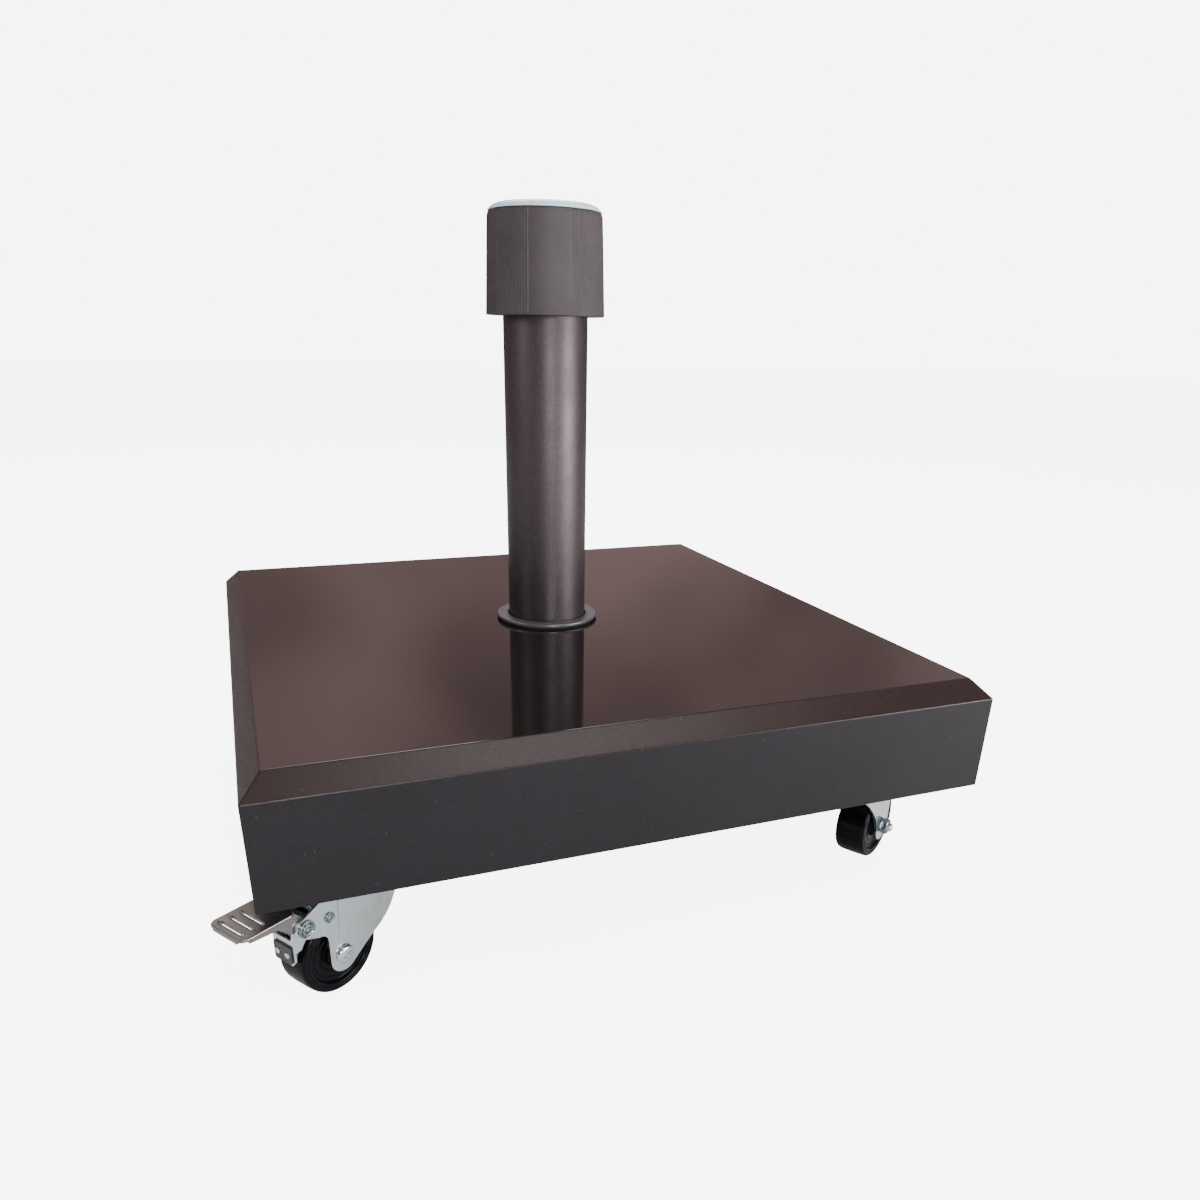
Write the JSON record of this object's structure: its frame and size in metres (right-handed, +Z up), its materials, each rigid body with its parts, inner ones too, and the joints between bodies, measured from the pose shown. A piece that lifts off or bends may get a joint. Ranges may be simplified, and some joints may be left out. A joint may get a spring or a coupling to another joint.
{
  "type": "parasol base",
  "caption": "Square polished stone parasol base on swivel casters with pedal brakes, with an upright stem and a ribbed twist clamp for the pole.",
  "frame": {"origin": "floor level under the axis of the stem, at the centre of the outline", "axes": "+Z up along the stem; the slab's sides are parallel to X and Y; the corner with a pedal that shows at the left is at -X -Y"},
  "size_m": [0.6596, 0.6078, 0.5586],
  "materials": {
    "granite_black": "polished top and chamfer, honed sides",
    "bronze_powder_coat": "satin",
    "ring_grey": "satin",
    "rubber_black": "matt",
    "knob_plastic": "matt",
    "cap_plastic": "satin",
    "nylon_dark": "matt",
    "zinc_plate": "bright zinc",
    "pressed_steel": "dull zinc",
    "wheel_nylon": "gloss",
    "bush_bronze": "satin",
    "dark_steel": "dark plated"
  },
  "bodies": {
    "base": {"granite_slab": "granite_black", "stem_tube": "bronze_powder_coat", "cover_ring": "ring_grey", "ring_gasket": "rubber_black", "flange_plate": "zinc_plate", "flange_bolt_1": "zinc_plate", "flange_bolt_2": "zinc_plate", "flange_bolt_3": "zinc_plate", "flange_bolt_4": "zinc_plate", "pole_seat": "nylon_dark", "thread_collar": "nylon_dark", "grip_collet": "nylon_dark", "mount_plate_front_left": "zinc_plate", "swivel_race_front_left": "zinc_plate", "mount_plate_front_right": "zinc_plate", "swivel_race_front_right": "zinc_plate", "mount_plate_back_right": "zinc_plate", "swivel_race_back_right": "zinc_plate", "mount_plate_back_left": "zinc_plate", "swivel_race_back_left": "zinc_plate"},
    "caster_front_left": {"fork_front_left": "zinc_plate", "axle_bush_front_left": "bush_bronze", "axle_bolt_front_left": "zinc_plate", "axle_nut_front_left": "zinc_plate", "pedal_pin_front_left": "zinc_plate", "stop_pin_front_left": "zinc_plate"},
    "wheel_front_left": {"wheel_front_left": "wheel_nylon"},
    "pedal_front_left": {"brake_pedal_front_left": "pressed_steel"},
    "shoe_front_left": {"brake_shoe_front_left": "zinc_plate", "shoe_pad_front_left": "dark_steel", "shoe_rivet_front_left_1": "zinc_plate", "shoe_rivet_front_left_2": "zinc_plate"},
    "caster_front_right": {"fork_front_right": "zinc_plate", "axle_bush_front_right": "bush_bronze", "axle_bolt_front_right": "zinc_plate", "axle_nut_front_right": "zinc_plate"},
    "wheel_front_right": {"wheel_front_right": "wheel_nylon"},
    "caster_back_right": {"fork_back_right": "zinc_plate", "axle_bush_back_right": "bush_bronze", "axle_bolt_back_right": "zinc_plate", "axle_nut_back_right": "zinc_plate", "pedal_pin_back_right": "zinc_plate", "stop_pin_back_right": "zinc_plate"},
    "wheel_back_right": {"wheel_back_right": "wheel_nylon"},
    "pedal_back_right": {"brake_pedal_back_right": "pressed_steel"},
    "shoe_back_right": {"brake_shoe_back_right": "zinc_plate", "shoe_pad_back_right": "dark_steel", "shoe_rivet_back_right_1": "zinc_plate", "shoe_rivet_back_right_2": "zinc_plate"},
    "caster_back_left": {"fork_back_left": "zinc_plate", "axle_bush_back_left": "bush_bronze", "axle_bolt_back_left": "zinc_plate", "axle_nut_back_left": "zinc_plate"},
    "wheel_back_left": {"wheel_back_left": "wheel_nylon"},
    "clamp": {"pressure_ring": "nylon_dark"},
    "knob": {"clamp_knob": "knob_plastic", "knob_cap": "cap_plastic"}
  },
  "joints": [
    {"name": "swivel_front_left", "type": "hinge", "parent": "base", "child": "caster_front_left", "pos_m": [-0.229, -0.229, 0.0916], "axis": [0, 0, 1], "continuous": true},
    {"name": "roll_front_left", "type": "hinge", "parent": "caster_front_left", "child": "wheel_front_left", "pos_m": [-0.25485, -0.24611, 0.034], "axis": [0.5519, -0.8339, 0], "continuous": true},
    {"name": "pedal_press_front_left", "type": "hinge", "parent": "caster_front_left", "child": "pedal_front_left", "pos_m": [-0.27945, -0.26239, 0.072], "axis": [0.5519, -0.8339, 0], "range_deg": [0, 18]},
    {"name": "shoe_close_front_left", "type": "hinge", "parent": "caster_front_left", "child": "shoe_front_left", "pos_m": [-0.27945, -0.26239, 0.072], "axis": [0.5519, -0.8339, 0], "range_deg": [0, 1.5]},
    {"name": "swivel_front_right", "type": "hinge", "parent": "base", "child": "caster_front_right", "pos_m": [0.229, -0.229, 0.0916], "axis": [0, 0, 1], "continuous": true},
    {"name": "roll_front_right", "type": "hinge", "parent": "caster_front_right", "child": "wheel_front_right", "pos_m": [0.25571, -0.21327, 0.034], "axis": [-0.5075, 0.8616, 0], "continuous": true},
    {"name": "swivel_back_right", "type": "hinge", "parent": "base", "child": "caster_back_right", "pos_m": [0.229, 0.229, 0.0916], "axis": [0, 0, 1], "continuous": true},
    {"name": "roll_back_right", "type": "hinge", "parent": "caster_back_right", "child": "wheel_back_right", "pos_m": [0.25485, 0.24611, 0.034], "axis": [-0.5519, 0.8339, 0], "continuous": true},
    {"name": "pedal_press_back_right", "type": "hinge", "parent": "caster_back_right", "child": "pedal_back_right", "pos_m": [0.27945, 0.26239, 0.072], "axis": [-0.5519, 0.8339, 0], "range_deg": [0, 18]},
    {"name": "shoe_close_back_right", "type": "hinge", "parent": "caster_back_right", "child": "shoe_back_right", "pos_m": [0.27945, 0.26239, 0.072], "axis": [-0.5519, 0.8339, 0], "range_deg": [0, 1.5]},
    {"name": "swivel_back_left", "type": "hinge", "parent": "base", "child": "caster_back_left", "pos_m": [-0.229, 0.229, 0.0916], "axis": [0, 0, 1], "continuous": true},
    {"name": "roll_back_left", "type": "hinge", "parent": "caster_back_left", "child": "wheel_back_left", "pos_m": [-0.25571, 0.21327, 0.034], "axis": [0.5075, -0.8616, 0], "continuous": true},
    {"name": "clamp_travel", "type": "slide", "parent": "base", "child": "clamp", "axis": [0, 0, 1], "range_m": [0, 0.0061]},
    {"name": "knob_turn", "type": "hinge", "parent": "clamp", "child": "knob", "pos_m": [0, 0, 0.52], "axis": [0, 0, 1], "range_deg": [0, 720]}
  ],
  "couplings": [
    {"joint": "shoe_close_front_left", "follows": "pedal_press_front_left", "ratio": 0.075},
    {"joint": "shoe_close_back_right", "follows": "pedal_press_back_right", "ratio": 0.075},
    {"joint": "clamp_travel", "follows": "knob_turn", "m_per_rad": 0.00047746}
  ]
}
